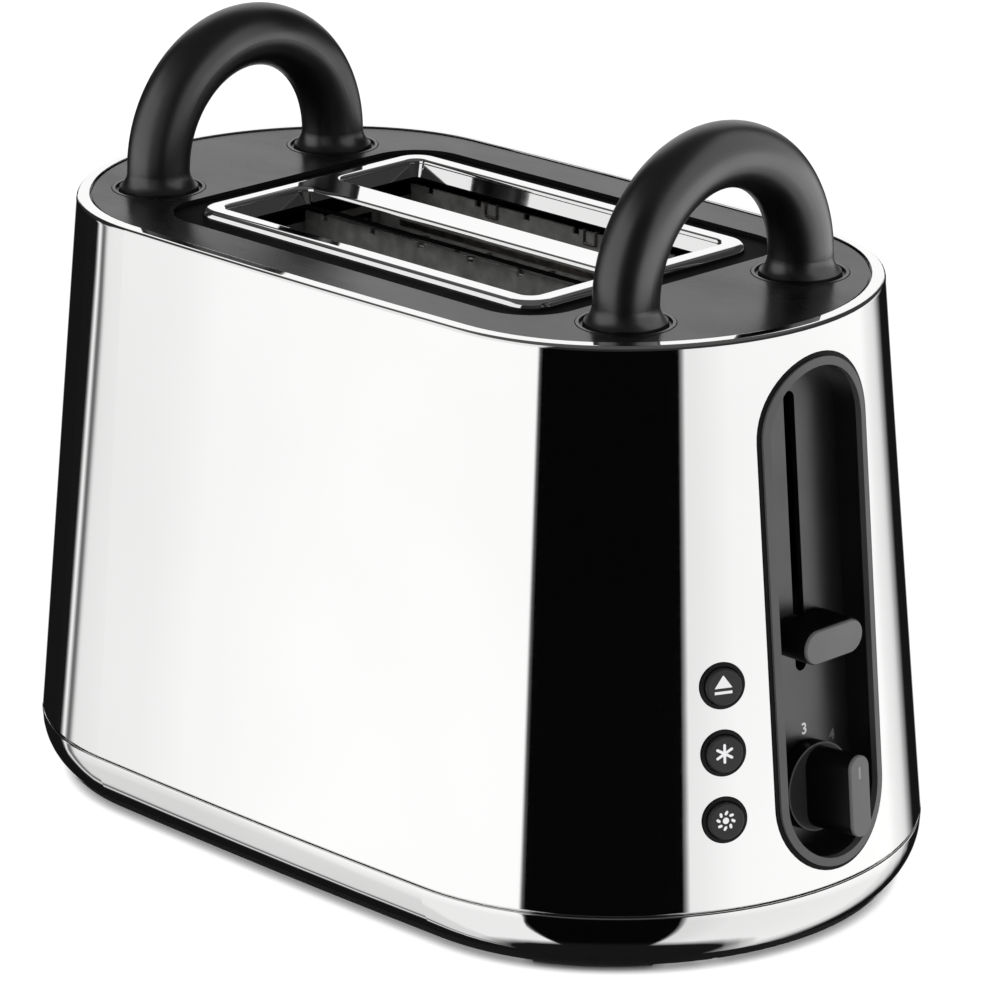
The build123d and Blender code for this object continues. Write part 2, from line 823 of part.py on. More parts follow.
def element_clips():
    """Hairpin wires hung over the top edges of the outer boards."""
    clips = []
    for sy in SIGNS:
        wire_y = sy * (outer_board_y - clip_wire)
        top_z = board_top_z + clip_wire
        for x in clip_spots:
            ends = [x - clip_width / 2, x + clip_width / 2]
            pieces = [bar_x(wire_y, clip_bottom_z, ends[0], ends[1], clip_wire)]
            hook_y0, hook_y1 = sorted((wire_y, sy * (outer_board_y + mica + clip_hook)))
            for end in ends:
                pieces.append(post(end, wire_y, clip_bottom_z, top_z, clip_wire))
                x0 = end - clip_wire + 0.05
                x1 = end + clip_wire - 0.05
                pieces.append(block(x0, x1, hook_y0, hook_y1, board_top_z, board_top_z + 2 * clip_wire))
            clips.append(fuse_all(pieces))
    return clips


def ribbon(face_y, side):
    """Heating ribbon laid to and fro across one face of a board, on its side towards the bread."""
    rows = 11
    pitch = 12.0
    low = board_bottom_z + 6
    y0, y1 = sorted((face_y, face_y + side * ribbon_thickness))
    pieces = []
    for row in range(rows):
        z = low + row * pitch
        pieces.append(block(-70, 70, y0, y1, z, z + 2))
        if row < rows - 1:
            end = 70 if row % 2 else -70
            pieces.append(block(min(end, end * 68 / 70), max(end, end * 68 / 70), y0, y1, z, z + pitch + 2))
    return fuse_all(pieces)


def reflector(sy):
    """Bright sheet behind an outer board, folded in at the foot."""
    y = sy * chassis_half_width
    sheet_part = block(-plate_x, plate_x, min(y, y - sy * 0.6), max(y, y - sy * 0.6), 24, 193)
    lip = block(-plate_x, plate_x, min(y, y - sy * 12), max(y, y - sy * 12), 24, 24.6)
    return sheet_part + lip


# Crumb tray
def crumb_tray():
    z = tray_floor_z
    pan = block(-tray_half_length, tray_half_length, -54, 92, z, z + 6)
    hollow = block(-tray_half_length + 1, tray_half_length - 1, -53, 91, z + 1, z + 7)
    return pan - hollow


def crumb_tray_front():
    """Front of the tray: the piece of the base band that was cut out for it, with a finger lip."""
    gap = 0.35
    window = block(
        -tray_opening_half + gap, tray_opening_half - gap, rim_half_width, 110,
        tray_opening_bottom_z + gap, tray_opening_top_z - gap,
    )
    side_arc = [ARCS[2]]
    panel_part = sweep_section(band_section(), side_arc) & window
    back = block(-70, 70, 92, 94.5, tray_floor_z, tray_floor_z + 6)
    lip = block(-30, 30, 94, 98.9, 9.2, 10.6)
    return fuse_all([panel_part, back, lip])


# Mains side
gland_z = 38.0
gland_radius = 6.5


def cord_gland():
    """Bushing through the far end of the shell, bored for a 7 mm cord."""
    surface = rim_half_length + wall(gland_z)
    flange = bar_x(0, gland_z, -surface - 2.2, -surface + 4, 9.5) - end_layer(0.02, -20, 10, 60, 20, side=-1)
    nose = bar_x(0, gland_z, -surface - 8.0, -surface + 12, gland_radius)
    nut = bar_x(0, gland_z, -surface + 6.0, -surface + 10, 9.5)
    return fuse_all([flange, nose, nut]) - bar_x(0, gland_z, -180, -140, 3.5)


def terminal_block():
    floor = base_z + base_floor
    body = block(-132, -108, -16, 16, floor, 20)
    holes = []
    for y in (-10, 0, 10):
        holes.append(post(-120, y, 12, 21, 2.2))
        holes.append(bar_x(y, 10, -140, -100, 1.6))
    return cut_all(body, holes)


NODES = {
    "outer_shell": outer_shell,
    "base_band": base_band,
    "base_plate": base_plate,
    "rubber_feet": rubber_feet,
    "base_screws": base_screws,
    "tie_rods": tie_rods,
    "top_deck": top_deck,
    "slot_surround": slot_surround,
    "slot_frame": slot_frame,
    "control_end_handle": lambda: hoop_handle(1),
    "far_end_handle": lambda: hoop_handle(-1),
    "handle_collars": handle_collars,
    "handle_screws": handle_screws,
    "control_bezel": control_bezel,
    "bezel_seal": bezel_seal,
    "control_tub": control_tub,
    "lever_grip": lever_grip,
    "lever_face": lever_face,
    "carriage": carriage,
    "carriage_bushings": carriage_bushings,
    "keeper_plate": keeper_plate,
    "guide_rods": guide_rods,
    "front_bread_rack": lambda: bread_rack(-1),
    "rear_bread_rack": lambda: bread_rack(1),
    "return_spring": return_spring,
    "magnet_bracket": magnet_bracket,
    "magnet_core": magnet_core,
    "magnet_coil": magnet_coil,
    "browning_knob": browning_knob,
    "knob_face": knob_face,
    "dial_spindle": dial_spindle,
    "dial_body": dial_body,
    "control_board": control_board,
    "board_parts": board_parts,
    "eject_button": lambda: button(button_heights[0]),
    "defrost_button": lambda: button(button_heights[1]),
    "reheat_button": lambda: button(button_heights[2]),
    "button_carrier": button_carrier,
    "button_board": button_board,
    "button_switches": button_switches,
    "control_end_plate": lambda: end_plate(1),
    "far_end_plate": lambda: end_plate(-1),
    "front_outer_guard": lambda: bread_guard(-slot_y - guard_closed),
    "front_inner_guard": lambda: bread_guard(-slot_y + guard_closed),
    "rear_inner_guard": lambda: bread_guard(slot_y - guard_closed),
    "rear_outer_guard": lambda: bread_guard(slot_y + guard_closed),
    "front_element_board": lambda: mica_board(-outer_board_y - mica, -outer_board_y),
    "centre_element_board": lambda: mica_board(-mica / 2, mica / 2),
    "rear_element_board": lambda: mica_board(outer_board_y, outer_board_y + mica),
    "element_clips": element_clips,
    "front_heating_ribbon": lambda: ribbon(-outer_board_y, 1),
    "centre_heating_ribbons": lambda: [ribbon(side * mica / 2, side) for side in SIGNS],
    "rear_heating_ribbon": lambda: ribbon(outer_board_y, -1),
    "front_reflector": lambda: reflector(-1),
    "rear_reflector": lambda: reflector(1),
    "crumb_tray": crumb_tray,
    "crumb_tray_front": crumb_tray_front,
    "cord_gland": cord_gland,
    "terminal_block": terminal_block,
}


def write_node(name, shape):
    """Write one node: a single solid, or a group of separate ones."""
    shapes = shape if isinstance(shape, list) else [shape]
    solids = [solid for item in shapes for solid in item.solids()]
    body = solids[0] if len(solids) == 1 else Compound(solids)
    export_step(body, f"parts/{name}.step")


os.makedirs("parts", exist_ok=True)
for node_name, make in NODES.items():
    write_node(node_name, make())
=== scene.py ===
import json
import math

import bpy
import bmesh
from mathutils import Matrix, Vector


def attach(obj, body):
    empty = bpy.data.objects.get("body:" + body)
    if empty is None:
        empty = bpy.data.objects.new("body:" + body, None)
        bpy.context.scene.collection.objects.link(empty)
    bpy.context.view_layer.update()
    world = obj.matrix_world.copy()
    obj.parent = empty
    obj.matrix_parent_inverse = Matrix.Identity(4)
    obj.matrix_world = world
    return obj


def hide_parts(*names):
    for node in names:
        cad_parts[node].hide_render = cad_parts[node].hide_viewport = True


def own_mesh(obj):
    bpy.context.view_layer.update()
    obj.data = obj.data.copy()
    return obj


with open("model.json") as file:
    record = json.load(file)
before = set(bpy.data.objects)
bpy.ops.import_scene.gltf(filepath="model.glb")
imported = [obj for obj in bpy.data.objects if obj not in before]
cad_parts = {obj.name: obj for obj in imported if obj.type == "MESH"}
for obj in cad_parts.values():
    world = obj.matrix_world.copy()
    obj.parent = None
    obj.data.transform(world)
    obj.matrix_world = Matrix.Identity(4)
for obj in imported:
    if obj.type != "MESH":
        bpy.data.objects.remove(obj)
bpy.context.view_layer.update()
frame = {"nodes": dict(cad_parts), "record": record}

MM = 0.001
nodes = frame["nodes"]

# Sizes repeated from the solids, in millimetres
RIM_HALF_LENGTH = 152.45
RIM_HALF_WIDTH = 83.5
RIM_Z = 204.0
RIM_ROUND = 1.6
DRAFT = 0.0877
WALL_TILT = math.atan(DRAFT)
END_RADIUS = 86.4
CORNER_RADIUS = 70.2
SIDE_RADIUS = 3146.0
SHELL_BOTTOM_Z = 22.4
RECESS_DEPTH = 12.8
KNOB_Z = 51.8
KNOB_FRONT = 23.3
SKIRT_FRONT = 5.7
SKIRT_RADIUS = 14.4
BUTTON_ANGLE = 24.8
BUTTON_HEIGHTS = {"eject_button": 95.4, "defrost_button": 73.7, "reheat_button": 52.0}
BUTTON_RISE = 2.0


def recess_back_x(z):
    return RIM_HALF_LENGTH + DRAFT * (RIM_Z - z) - RECESS_DEPTH


# Objects and nodes


def add_object(name, data):
    made = bpy.data.objects.new(name, data)
    bpy.context.scene.collection.objects.link(made)
    return made


def add_piece(name, mesh, body):
    """A piece of the visual model, in one of the record's slots, that moves with a body."""
    piece = add_object(name, mesh)
    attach(piece, body)
    return piece


def empty_tree(owner):
    """Node tree of a new material or world, with nothing in it."""
    owner.use_nodes = True
    owner.node_tree.nodes.clear()
    return owner.node_tree


def add_node(tree, kind, **values):
    made = tree.nodes.new(kind)
    for key, value in values.items():
        setattr(made, key, value)
    return made


def feed(tree, socket, value):
    """Give a socket a number or a colour, or link another node's output to it."""
    if isinstance(value, bpy.types.NodeSocket):
        tree.links.new(value, socket)
    else:
        socket.default_value = value


def arithmetic(tree, operation, *values):
    made = add_node(tree, "ShaderNodeMath", operation=operation)
    for socket, value in zip(made.inputs, values):
        feed(tree, socket, value)
    return made.outputs[0]


def vector_arithmetic(tree, operation, *values, result="Vector"):
    made = add_node(tree, "ShaderNodeVectorMath", operation=operation)
    for socket, value in zip(made.inputs, values):
        feed(tree, socket, value)
    return made.outputs[result]


def map_range(tree, value, start, end, low=0.0, high=1.0):
    """Goes from low to high as the value goes from start to end, and stays level outside them."""
    made = add_node(tree, "ShaderNodeMapRange")
    given = {"Value": value, "From Min": start, "From Max": end, "To Min": low, "To Max": high}
    for name, number in given.items():
        feed(tree, made.inputs[name], number)
    return made.outputs["Result"]


def mix_colours(tree, factor, first, second, blend_type="MIX"):
    """The first colour where the factor is 0, the second where it is 1."""
    made = add_node(tree, "ShaderNodeMix", data_type="RGBA", blend_type=blend_type)
    feed(tree, made.inputs["Factor"], factor)
    feed(tree, made.inputs[6], first)
    feed(tree, made.inputs[7], second)
    return made.outputs[2]


def colour_ramp(tree, factor, stops):
    """Colour that runs through the stops, each a place from 0 to 1 and a colour."""
    made = add_node(tree, "ShaderNodeValToRGB")
    elements = made.color_ramp.elements
    while len(elements) < len(stops):
        elements.new(0.5)
    for element, (place, colour) in zip(elements, stops):
        element.position = place
        element.color = (*colour, 1.0)
    tree.links.new(factor, made.inputs["Fac"])
    return made.outputs["Color"]


# Materials


class Shader:
    """A material with one Principled shader and the procedural nodes that feed it."""

    SOCKETS = {
        "metallic": "Metallic", "specular": "Specular IOR Level", "ior": "IOR",
        "coat": "Coat Weight", "coat_rough": "Coat Roughness",
    }

    def __init__(self, name):
        self.name = name
        self.material = bpy.data.materials.new(name)
        self.tree = empty_tree(self.material)
        self.bsdf = self.node("ShaderNodeBsdfPrincipled")
        self.link(self.bsdf.outputs["BSDF"], self.node("ShaderNodeOutputMaterial").inputs["Surface"])
        self.coords = self.node("ShaderNodeTexCoord")
        self.bumps = []

    def node(self, kind, **values):
        return add_node(self.tree, kind, **values)

    def link(self, a, b):
        self.tree.links.new(a, b)

    def set(self, **values):
        for key, value in values.items():
            self.bsdf.inputs[self.SOCKETS[key]].default_value = value
        return self

    def noise(self, scale, detail=2.0, rough=0.5, stretch=(1, 1, 1), offset=(0, 0, 0)):
        mapping = self.node("ShaderNodeMapping")
        mapping.inputs["Scale"].default_value = stretch
        mapping.inputs["Location"].default_value = offset
        self.link(self.coords.outputs["Object"], mapping.inputs["Vector"])
        noise = self.node("ShaderNodeTexNoise")
        noise.inputs["Scale"].default_value = scale
        noise.inputs["Detail"].default_value = detail
        noise.inputs["Roughness"].default_value = rough
        self.link(mapping.outputs["Vector"], noise.inputs["Vector"])
        return noise.outputs["Fac"]

    def colour(self, factor, stops):
        self.link(colour_ramp(self.tree, factor, stops), self.bsdf.inputs["Base Color"])
        return self

    def roughness(self, factor, low, high, start=0.3, end=0.7):
        self.link(map_range(self.tree, factor, start, end, low, high), self.bsdf.inputs["Roughness"])
        return self

    def bump(self, height, strength, distance):
        bump = self.node("ShaderNodeBump")
        bump.inputs["Strength"].default_value = strength
        bump.inputs["Distance"].default_value = distance
        self.link(height, bump.inputs["Height"])
        if self.bumps:
            self.link(self.bumps[-1], bump.inputs["Normal"])
        self.bumps.append(bump.outputs["Normal"])
        self.link(bump.outputs["Normal"], self.bsdf.inputs["Normal"])
        return self


def grey(value, tint=(1.0, 1.0, 1.0)):
    return tuple(value * t for t in tint)


def moulded(name, value, rough, specular=0.5, grain=2200, depth=0.00003, spread=0.12):
    """Moulded plastic: a fine spark-eroded grain, faint cloudy changes of colour and of gloss."""
    s = Shader(name).set(specular=specular)
    cloud = s.noise(28, detail=3)
    fine = s.noise(grain, detail=3, rough=0.6)
    tint = (1, 1, 1.02)
    s.colour(cloud, [(0.3, grey(value * (1 - spread), tint)), (0.7, grey(value * (1 + spread), tint))])
    s.roughness(s.noise(60, detail=4), rough - 0.04, rough + 0.05)
    s.bump(fine, 0.35, depth)
    return s


def recess_plastic():
    """Moulded plastic under a clear satin coat."""
    s = moulded("recess_plastic", 0.005, 0.34, specular=1.0, spread=0.2)
    return s.set(coat=0.8, coat_rough=0.30)


def deck_plastic():
    """Satin black deck: long streaks of flow and rubbed patches in its gloss, over a fine grain."""
    s = Shader("deck_plastic").set(specular=0.5, ior=1.31)
    streaks = s.noise(24, detail=5, rough=0.6, stretch=(0.35, 1, 1))
    s.colour(streaks, [(0.3, grey(0.002)), (0.7, grey(0.012, (1, 1, 0.96)))])
    s.roughness(s.noise(38, detail=5, rough=0.62, stretch=(0.5, 1, 1), offset=(3, 1, 0)), 0.19, 0.31)
    s.bump(s.noise(1800, detail=3, rough=0.6), 0.25, 0.00002)
    s.bump(s.noise(45, detail=3, stretch=(0.4, 1, 1)), 0.08, 0.0002)
    return s


# Painted sheen on the knob's skirt: millimetres past the skirt's front face between which it starts and
# ends, and millimetres past the skirt's rim between which it passes from the first grey into the second, a
# painted highlight
PAINTED_SHEEN_START = (-0.4, -0.1)
PAINTED_SHEEN_END = (0.1, 0.3)
PAINTED_HIGHLIGHT_EDGE = (-0.7, -0.2)
PAINTED_SHEEN_GREYS = (0.024, 0.10)


def past(size, offsets):
    """Places in metres that lie some millimetres past a size."""
    return [(size + offset) * MM for offset in offsets]


def knob_plastic():
    """Black knob whose skirt front has a painted sheen, greyer than its grip, with a painted highlight along
    its rim.
    """
    s = moulded("knob_plastic", 0.003, 0.32, specular=0.12)
    tree = s.tree
    base = (recess_back_x(KNOB_Z) * MM, 0, KNOB_Z * MM)
    axis = (math.cos(WALL_TILT), 0, math.sin(WALL_TILT))
    offset = vector_arithmetic(tree, "SUBTRACT", s.coords.outputs["Object"], base)
    height = vector_arithmetic(tree, "DOT_PRODUCT", offset, axis, result="Value")
    along = vector_arithmetic(tree, "MULTIPLY", axis, height)
    across = vector_arithmetic(tree, "SUBTRACT", offset, along)
    radius = vector_arithmetic(tree, "LENGTH", across, result="Value")
    # Painted highlight: grey rising towards the skirt's rim, laid into the base colour on its front face
    # only
    painted_sheen = map_range(tree, radius, *past(SKIRT_RADIUS, PAINTED_HIGHLIGHT_EDGE), *PAINTED_SHEEN_GREYS)
    rising = map_range(tree, height, *past(SKIRT_FRONT, PAINTED_SHEEN_START), 0, 1)
    falling = map_range(tree, height, *past(SKIRT_FRONT, PAINTED_SHEEN_END), 1, 0)
    on_front = arithmetic(tree, "MULTIPLY", rising, falling)
    base_colour = s.bsdf.inputs["Base Color"]
    plain = base_colour.links[0].from_socket
    s.link(mix_colours(tree, on_front, plain, painted_sheen), base_colour)
    return s


def polished_steel():
    s = Shader("polished_steel").set(metallic=1.0)
    s.colour(s.noise(9, detail=2), [(0.35, (0.93, 0.93, 0.925)), (0.65, (0.965, 0.965, 0.96))])
    s.roughness(s.noise(700, detail=3, stretch=(0.2, 0.2, 1)), 0.018, 0.045)
    s.bump(s.noise(1400, detail=2, stretch=(0.12, 0.12, 1)), 0.04, 0.000004)
    return s


def rolled_steel(name, value, rough, across=(0.05, 1, 1)):
    """Bare sheet or wire, with fine lines along the rolling direction."""
    s = Shader(name).set(metallic=1.0)
    warm = (1, 0.995, 0.98)
    s.colour(s.noise(40, detail=4), [(0.3, grey(value * 0.86, warm)), (0.7, grey(value * 1.06))])
    lines = s.noise(1500, detail=3, stretch=across)
    s.roughness(lines, rough - 0.07, rough + 0.08)
    s.bump(lines, 0.12, 0.00001)
    return s


def foot_rubber():
    s = Shader("foot_rubber")
    s.colour(s.noise(90, detail=4), [(0.3, grey(0.012)), (0.7, grey(0.022))])
    s.roughness(s.noise(300, detail=3), 0.62, 0.8)
    s.bump(s.noise(900, detail=4), 0.4, 0.00006)
    return s


def mica_sheet():
    """Pressed mica: warm, flaky, with small bright scales."""
    s = Shader("mica_sheet")
    flakes = s.node("ShaderNodeTexVoronoi", feature="F1")
    flakes.inputs["Scale"].default_value = 260
    s.link(s.coords.outputs["Object"], flakes.inputs["Vector"])
    s.colour(s.noise(180, detail=5),
             [(0.3, (0.16, 0.158, 0.153)), (0.5, (0.225, 0.223, 0.217)), (0.72, (0.31, 0.308, 0.30))])
    s.roughness(flakes.outputs["Distance"], 0.35, 0.65, 0.0, 0.6)
    s.bump(flakes.outputs["Distance"], 0.2, 0.00005)
    return s


def board_laminate():
    s = Shader("board_laminate")
    layers = s.noise(500, detail=4, stretch=(1, 1, 0.1))
    s.colour(layers, [(0.35, (0.42, 0.30, 0.13)), (0.65, (0.56, 0.43, 0.22))])
    s.roughness(s.noise(200), 0.4, 0.55)
    s.bump(s.noise(1600, detail=2), 0.15, 0.00002)
    return s


def copper_wire():
    s = Shader("copper_wire").set(metallic=1.0)
    wave = s.node("ShaderNodeTexWave", wave_type="BANDS", bands_direction="Z")
    wave.inputs["Scale"].default_value = 900
    s.link(s.coords.outputs["Object"], wave.inputs["Vector"])
    s.colour(s.noise(80), [(0.3, (0.62, 0.30, 0.14)), (0.7, (0.78, 0.42, 0.22))])
    s.roughness(s.noise(300), 0.28, 0.4)
    s.bump(wave.outputs["Fac"], 0.5, 0.0001)
    return s


def heating_alloy():
    s = Shader("heating_alloy").set(metallic=1.0)
    s.colour(s.noise(260, detail=3), [(0.3, (0.24, 0.22, 0.21)), (0.7, (0.42, 0.38, 0.34))])
    s.roughness(s.noise(500), 0.42, 0.6)
    s.bump(s.noise(2400), 0.2, 0.00001)
    return s


SHADERS = {shader.name: shader for shader in (
    polished_steel(),
    moulded("black_plastic", 0.004, 0.40, specular=0.25),
    moulded("base_plastic", 0.006, 0.60, specular=0.08),
    moulded("surround_plastic", 0.005, 0.65, specular=0.03),
    recess_plastic(),
    moulded("matt_black_plastic", 0.003, 0.32, specular=0.12),
    moulded("light_grey_plastic", 0.30, 0.45, spread=0.04),
    moulded("handle_plastic", 0.0022, 0.34, specular=1.0, grain=2600, spread=0.2),
    deck_plastic(),
    moulded("bezel_plastic", 0.07, 0.46, specular=1.0, spread=0.06),
    moulded("grey_plastic", 0.12, 0.45, specular=1.0, spread=0.05),
    moulded("button_plastic", 0.021, 0.42, spread=0.1),
    moulded("white_plastic", 0.95, 0.5, grain=2000, depth=0.00001, spread=0.03),
    foot_rubber(),
    rolled_steel("sheet_steel", 0.55, 0.34),
    rolled_steel("spring_steel", 0.36, 0.36, across=(1, 1, 0.1)),
    rolled_steel("screw_steel", 0.58, 0.34, across=(1, 1, 1)),
    copper_wire(),
    heating_alloy(),
    mica_sheet(),
    board_laminate(),
)}

# Nodes that look different from the rest of their slot
OWN_SHADERS = {"browning_knob": knob_plastic()}

for entry in frame["record"]["subparts"]:
    shader = OWN_SHADERS.get(entry["node"], SHADERS[entry["material_slot"]])
    for place in nodes[entry["node"]].material_slots:
        place.material = shader.material


# Shell with the true slant and roundness of its wall in every normal

# Centres of the rim's end arc and side arc
END_X = RIM_HALF_LENGTH - END_RADIUS
SIDE_Y = RIM_HALF_WIDTH - SIDE_RADIUS
# How far in millimetres a vertex of the outer wall may be off it, and how nearly its faces point like it
WALL_TOLERANCE = 0.03
WALL_ALIGNMENT = 0.98


def corner_centre():
    """Centre of the corner arc, tangent inside both the side arc and the end arc."""
    r_side = SIDE_RADIUS - CORNER_RADIUS
    r_end = END_RADIUS - CORNER_RADIUS
    gap = math.hypot(END_X, SIDE_Y)
    along = (r_side**2 - r_end**2 + gap**2) / (2 * gap)
    across = math.sqrt(r_side**2 - along**2)
    ux, uy = END_X / gap, -SIDE_Y / gap
    return along * ux + across * uy, SIDE_Y + along * uy - across * ux


CORNER_X, CORNER_Y = corner_centre()
# Bearings at which the end arc and the side arc give way to the corner arc
END_TURN = math.atan2(CORNER_Y, CORNER_X - END_X)
SIDE_TURN = math.atan2(CORNER_Y - SIDE_Y, CORNER_X)


def outline_spot(x, y):
    """How far a point seen from above is outside the rim outline, and the way outwards there."""
    px, py = abs(x), abs(y)
    if math.atan2(py, px - END_X) <= END_TURN:
        cx, cy, radius = END_X, 0.0, END_RADIUS
    elif math.atan2(py - CORNER_Y, px - CORNER_X) <= SIDE_TURN:
        cx, cy, radius = CORNER_X, CORNER_Y, CORNER_RADIUS
    else:
        cx, cy, radius = 0.0, SIDE_Y, SIDE_RADIUS
    reach = math.hypot(px - cx, py - cy)
    out = Vector(((px - cx) / reach, (py - cy) / reach, 0))
    return reach - radius, Vector((math.copysign(out.x, x), math.copysign(out.y, y), 0))


def dress_shell():
    """Copy of the shell with exact wall normals, so that its reflections run straight past the holes."""
    mesh = nodes["outer_shell"].data.copy()
    mesh.name = "polished_shell"
    rise = Vector((0, 0, math.sin(WALL_TILT)))
    exact = {}
    for vertex in mesh.vertices:
        x, y, z = vertex.co / MM
        offset, out = outline_spot(x, y)
        on_wall = abs(offset - DRAFT * (RIM_Z - z)) < WALL_TOLERANCE
        if on_wall and SHELL_BOTTOM_Z < z < RIM_Z - RIM_ROUND:
            exact[vertex.index] = (out * math.cos(WALL_TILT) + rise).normalized()
    normals = [corner.vector.copy() for corner in mesh.corner_normals]
    for face in mesh.polygons:
        for loop in face.loop_indices:
            normal = exact.get(mesh.loops[loop].vertex_index)
            if normal is not None and face.normal.dot(normal) > WALL_ALIGNMENT:
                normals[loop] = normal
    mesh.normals_split_custom_set(normals)
    piece = add_piece("polished_shell", mesh, "housing")
    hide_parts("outer_shell")


def dress_spring():
    """Copy of the return spring, hung from the top flange, carried by the housing."""
    mesh = nodes["return_spring"].data.copy()
    mesh.name = "hung_return_spring"
    piece = add_piece("hung_return_spring", mesh, "housing")
    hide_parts("return_spring")
    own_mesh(piece)


# Printed marks, in millimetres

PRINT_THICKNESS = 0.06
PRINT_SUNK = 0.02
END_SEGMENTS = 6
DISC_POINTS = 24
SYMBOL_SHIFT = (-0.35, 0.3)
SYMBOL_LINE = 0.9
STAR_ARMS = 6
STAR_SIZE = 6.4
DOT_RADIUS = 1.05
PETALS = 8
PETAL_RADIUS = 2.5
PETAL_LENGTH = 1.55
# Bearing of the first petal, and how far each is turned out of its radius, in degrees
PETAL_START = 85
PETAL_TURN = -29
POINTER_CENTRE = (-0.3, 7.8)
POINTER_LENGTH = 4.2
POINTER_WIDTH = 1.0
DIGIT_SIZE = 5.2
DIGIT_WEIGHT = 0.09
DIGIT_LIFT = 0.03
DIGIT_RADIUS = 18.0
DIAL_STEP = 45
DIAL_TOP_NUMBER = 3
DIAL_NUMBERS = range(1, 7)


def frame_matrix(origin, right, up):
    """Matrix of a local frame: x to the right, y up, z towards the viewer. Origin in millimetres."""
    right = Vector(right).normalized()
    up = Vector(up).normalized()
    out = right.cross(up)
    matrix = Matrix((right, up, out)).transposed().to_4x4()
    matrix.translation = Vector(origin) * MM
    return matrix


def recess_frame(height=0.0):
    """Back of the recess at the knob's axis, lifted off it by a height in millimetres."""
    out = Vector((math.cos(WALL_TILT), 0, math.sin(WALL_TILT)))
    origin = Vector((recess_back_x(KNOB_Z), 0, KNOB_Z)) + out * height
    up = Vector((-math.sin(WALL_TILT), 0, math.cos(WALL_TILT)))
    return frame_matrix(origin, (0, 1, 0), up)


def button_frame(z, height):
    """Face of a push button at rest, lifted off the shell by a height in millimetres."""
    turn = math.radians(BUTTON_ANGLE)
    c, s = math.cos(turn), -math.sin(turn)
    reach = END_RADIUS + DRAFT * (RIM_Z - z)
    out = Vector((c * math.cos(WALL_TILT), s * math.cos(WALL_TILT), math.sin(WALL_TILT)))
    right = Vector((-s, c, 0))
    origin = Vector((END_X + reach * c, reach * s, z)) + out * height
    return frame_matrix(origin, right, out.cross(right))


def print_mark(name, outlines, matrix, body, slot="white_plastic"):
    """A thin printed mark made of flat outlines, given in millimetres in a local frame."""
    mesh = bpy.data.meshes.new(name)
    bm = bmesh.new()
    for points in outlines:
        low = [bm.verts.new((x, y, -PRINT_SUNK)) for x, y in points]
        high = [bm.verts.new((x, y, PRINT_THICKNESS)) for x, y in points]
        bm.faces.new(high)
        bm.faces.new(low[::-1])
        for i in range(len(points)):
            j = (i + 1) % len(points)
            bm.faces.new((low[i], low[j], high[j], high[i]))
    bm.normal_update()
    bmesh.ops.triangulate(bm, faces=[f for f in bm.faces if len(f.verts) > 4])
    bmesh.ops.recalc_face_normals(bm, faces=bm.faces)
    bm.to_mesh(mesh)
    bm.free()
    mesh.transform(matrix @ Matrix.Scale(MM, 4))
    mesh.materials.append(SHADERS[slot].material)
    add_piece(name, mesh, body)


def bar(x, y, length, width, angle):
    """Outline of a bar with round ends, centred at a point and turned by an angle in degrees."""
    turn = math.radians(angle)
    r = width / 2
    half = length / 2 - r
    points = []
    for end, first in ((1, -90), (-1, 90)):
        for k in range(END_SEGMENTS + 1):
            a = math.radians(first + 180 * k / END_SEGMENTS)
            points.append((end * half + r * math.cos(a), r * math.sin(a)))
    c, s = math.cos(turn), math.sin(turn)
    return [(x + px * c - py * s, y + px * s + py * c) for px, py in points]


def star(arms, length, width):
    """Outline of a star of arms with round ends, the first of them upright."""
    r = width / 2
    reach = length / 2 - r
    notch = r / math.sin(math.pi / arms)
    points = []
    for arm in range(arms):
        middle = 90 + 360 * arm / arms
        a = math.radians(middle)
        for k in range(END_SEGMENTS + 1):
            b = math.radians(middle - 90 + 180 * k / END_SEGMENTS)
            points.append((reach * math.cos(a) + r * math.cos(b), reach * math.sin(a) + r * math.sin(b)))
        c = a + math.pi / arms
        points.append((notch * math.cos(c), notch * math.sin(c)))
    return points


def disc(radius):
    """Outline of a round dot at the middle."""
    angles = [2 * math.pi * k / DISC_POINTS for k in range(DISC_POINTS)]
    return [(radius * math.cos(a), radius * math.sin(a)) for a in angles]


def eject_symbol():
    triangle = [(-2.95, -0.55), (2.95, -0.55), (0.15, 3.45), (-0.15, 3.45)]
    line = [(-2.95, -2.45), (2.95, -2.45), (2.95, -1.55), (-2.95, -1.55)]
    return [triangle, line]


def defrost_symbol():
    return [star(STAR_ARMS, STAR_SIZE, SYMBOL_LINE)]


def reheat_symbol():
    """A dot with short petals round it, each turned a little out of its radius."""
    petals = []
    for k in range(PETALS):
        bearing = PETAL_START - 360 / PETALS * k
        a = math.radians(bearing)
        x, y = PETAL_RADIUS * math.cos(a), PETAL_RADIUS * math.sin(a)
        petals.append(bar(x, y, PETAL_LENGTH, SYMBOL_LINE, bearing + PETAL_TURN))
    return [disc(DOT_RADIUS)] + petals


def print_symbols():
    symbols = {
        "eject_button": eject_symbol(), "defrost_button": defrost_symbol(), "reheat_button": reheat_symbol(),
    }
    dx, dy = SYMBOL_SHIFT
    for button, symbol in symbols.items():
        outlines = [[(x + dx, y + dy) for x, y in outline] for outline in symbol]
        spot = button_frame(BUTTON_HEIGHTS[button], BUTTON_RISE)
        print_mark(button + "_symbol", outlines, spot, button + "_body")


def print_pointer():
    pointer = bar(*POINTER_CENTRE, POINTER_LENGTH, POINTER_WIDTH, 90)
    print_mark("knob_pointer", [pointer], recess_frame(KNOB_FRONT), "knob", "light_grey_plastic")


